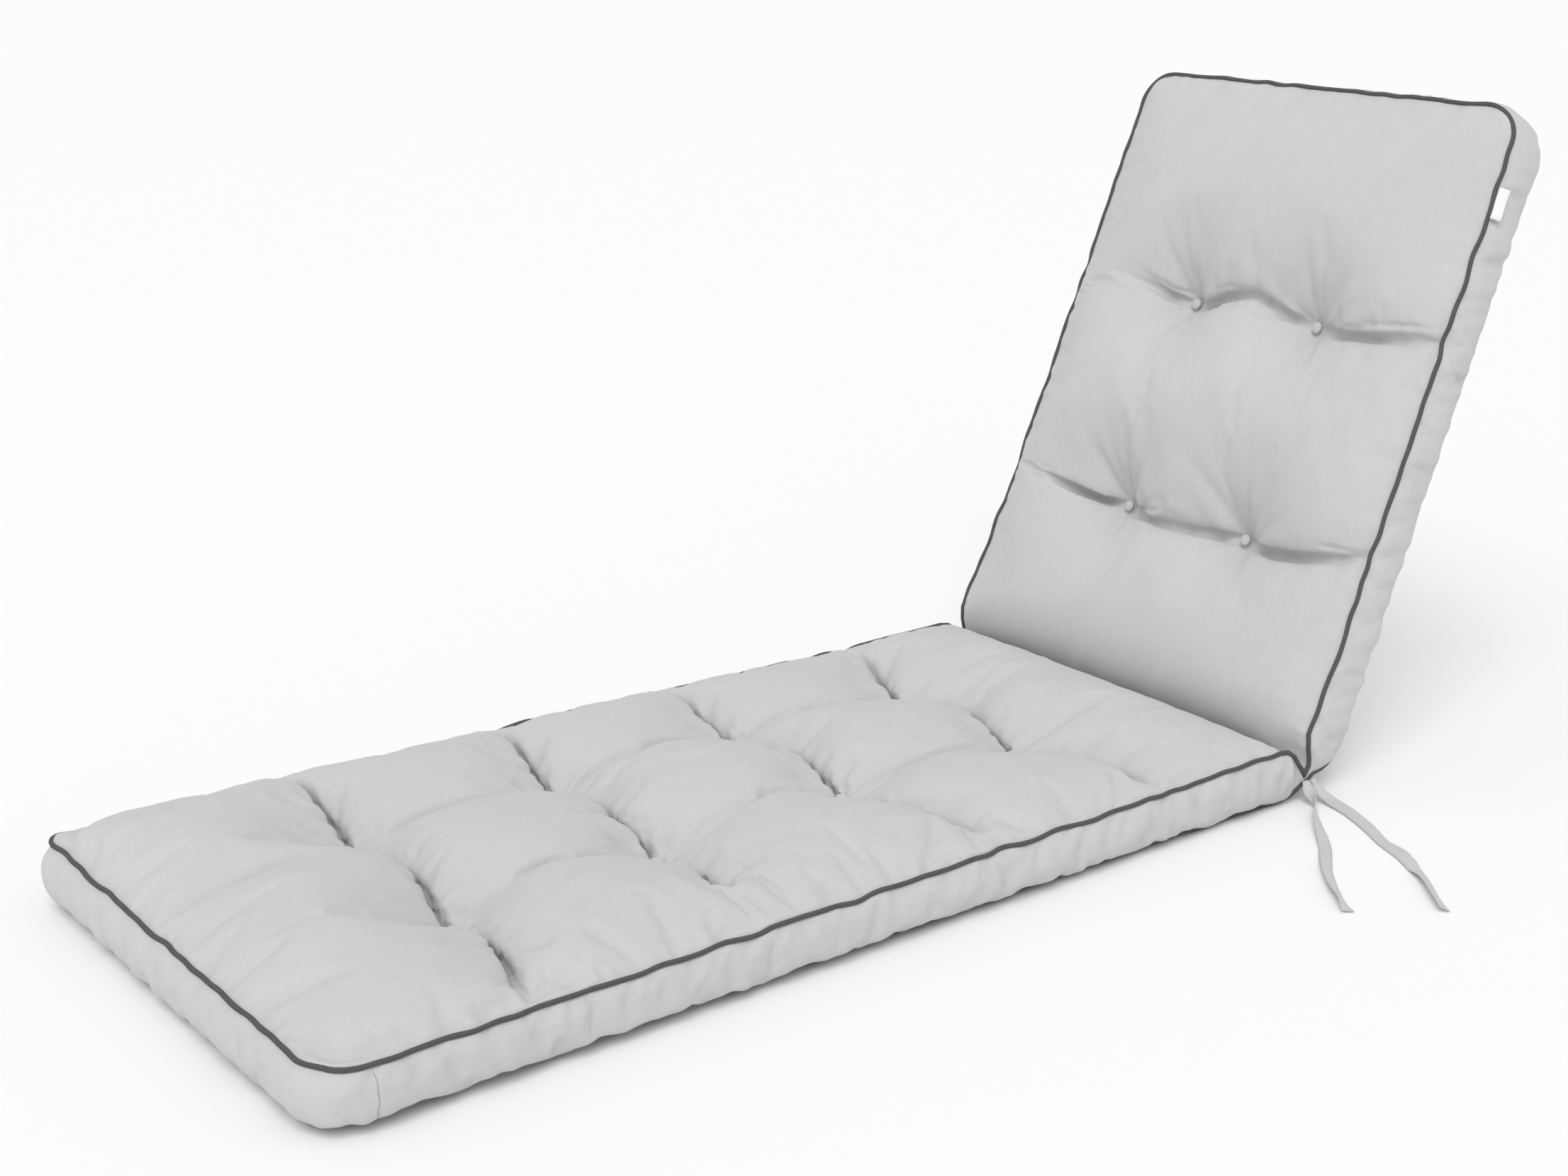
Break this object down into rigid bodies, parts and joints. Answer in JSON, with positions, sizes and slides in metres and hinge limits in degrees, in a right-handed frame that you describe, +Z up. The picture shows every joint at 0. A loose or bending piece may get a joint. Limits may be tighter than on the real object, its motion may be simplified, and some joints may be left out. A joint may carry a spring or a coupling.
{
  "type": "sun lounger cushion",
  "caption": "Long tufted outdoor cushion with a flat seat section and a back section folded up at a sewn line, dark piping in its seams and two fabric ties at the fold.",
  "frame": {"origin": "middle of the cushion's footprint on the surface it lies on, measured without the two ties", "axes": "+X from the foot end towards the head end, +Y across the cushion away from the side with the ties, +Z up"},
  "size_m": [1.5844, 0.9093, 0.7519],
  "materials": {
    "fabric": "matte melange weave",
    "piping": "matte covered cord",
    "tie": "matte melange weave",
    "label": "matte woven tab"
  },
  "bodies": {
    "root": {"cushion": "fabric", "piping_top": "piping", "piping_bottom": "piping", "label_tab": "label", "tie_long": "tie", "tie_short": "tie", "button_1_near": "fabric", "button_1_far": "fabric", "button_2_near": "fabric", "button_2_far": "fabric", "button_3_near": "fabric", "button_3_far": "fabric", "button_4_near": "fabric", "button_4_far": "fabric", "button_5_near": "fabric", "button_5_far": "fabric", "button_6_near": "fabric", "button_6_far": "fabric"}
  },
  "joints": []
}
